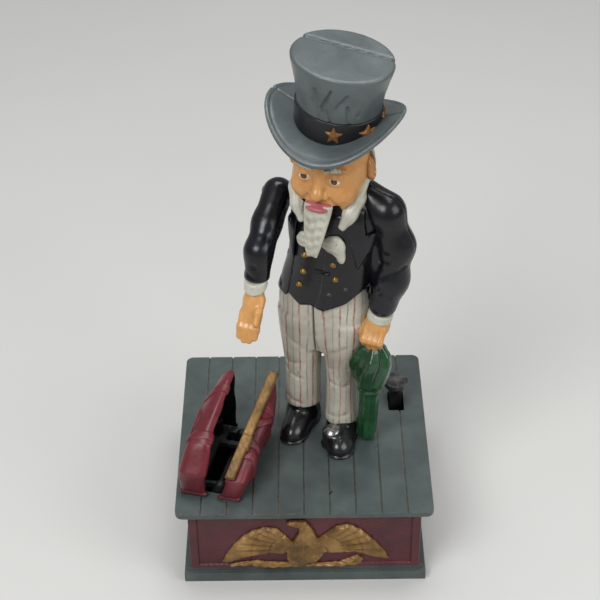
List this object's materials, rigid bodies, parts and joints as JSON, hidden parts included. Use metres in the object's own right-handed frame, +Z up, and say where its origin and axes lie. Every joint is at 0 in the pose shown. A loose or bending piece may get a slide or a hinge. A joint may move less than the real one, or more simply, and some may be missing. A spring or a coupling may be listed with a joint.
{
  "type": "mechanical bank",
  "caption": "Cast mechanical coin bank: a standing figure in a top hat lowers its arm over a bag that opens when the thumb lever on the planked box is pressed.",
  "frame": {"origin": "bottom centre of the bounding box, on the plane that the plinth stands on", "axes": "+Z up, +X to the right of a viewer who faces the bird panel, +Y to the back"},
  "size_m": [0.132, 0.125, 0.284],
  "materials": {
    "slate_enamel": "satin grey-green enamel on cast iron",
    "maroon_enamel": "semi-gloss maroon enamel on cast iron",
    "crimson_enamel": "semi-gloss crimson enamel on cast iron",
    "figure_enamel": "enamel on cast iron in several colours",
    "coat_enamel": "gloss blue-black enamel on cast iron",
    "white_enamel": "satin white enamel on cast iron",
    "black_iron": "black enamel, worn at the knob",
    "raw_iron": "bare iron casting",
    "steel": "plain steel"
  },
  "bodies": {
    "base": {"deck": "slate_enamel", "front_panel": "maroon_enamel", "rear_panel": "maroon_enamel", "left_panel": "maroon_enamel", "right_panel": "maroon_enamel", "plinth": "slate_enamel", "trap_screw": "steel", "base_bolts": "steel", "bag_fixed_half": "crimson_enamel", "bag_hinge_pin": "steel", "bag_screws": "steel", "return_spring": "steel", "figure_front": "figure_enamel", "figure_rear": "figure_enamel", "figure_screws": "steel", "jaw_pin": "steel", "shoe_screw": "steel", "shoe_nut": "steel"},
    "lever": {"rock_shaft": "steel", "thumb_lever": "black_iron", "rod_arm": "raw_iron", "bag_arm": "raw_iron", "lever_pins": "steel"},
    "rod": {"push_rod": "steel"},
    "arm": {"right_arm": "coat_enamel", "arm_shaft": "steel", "arm_crank": "raw_iron"},
    "link": {"jaw_link": "steel"},
    "jaw": {"jaw_beard": "white_enamel"},
    "bag": {"bag_moving_half": "crimson_enamel"},
    "trap": {"trap_door": "slate_enamel"}
  },
  "joints": [
    {"name": "press_lever", "type": "hinge", "parent": "base", "child": "lever", "pos_m": [0, -0.02171, 0.03], "axis": [1, 0, 0], "range_deg": [0, 14], "deforming": ["return_spring"]},
    {"name": "push_rod_slide", "type": "slide", "parent": "base", "child": "rod", "axis": [0, 0, 1], "range_m": [0, 0.0068]},
    {"name": "arm_swing", "type": "hinge", "parent": "base", "child": "arm", "pos_m": [-0.01179, 0.01807, 0.194], "axis": [-0.9272, 0.3746, 0], "range_deg": [0, 55]},
    {"name": "link_slide", "type": "slide", "parent": "base", "child": "link", "axis": [0, 0, 1], "range_m": [0, 0.00185]},
    {"name": "jaw_swing", "type": "hinge", "parent": "base", "child": "jaw", "pos_m": [0.01108, -0.00462, 0.208], "axis": [0.9272, -0.3746, 0], "range_deg": [0, 10]},
    {"name": "bag_shut", "type": "hinge", "parent": "base", "child": "bag", "pos_m": [-0.042, -0.02365, 0.044], "axis": [-0.2538, -0.9673, 0], "range_deg": [0, 19]},
    {"name": "trap_swivel", "type": "hinge", "parent": "base", "child": "trap", "pos_m": [0, -0.027, 0.0034], "axis": [0, 0, 1], "range_deg": [0, 40]}
  ],
  "couplings": [
    {"joint": "push_rod_slide", "follows": "press_lever", "m_per_rad": 0.027829},
    {"joint": "arm_swing", "follows": "press_lever", "ratio": 3.9286},
    {"joint": "link_slide", "follows": "press_lever", "m_per_rad": 0.007559},
    {"joint": "jaw_swing", "follows": "press_lever", "ratio": 0.71429},
    {"joint": "bag_shut", "follows": "press_lever", "ratio": 1.3571}
  ]
}
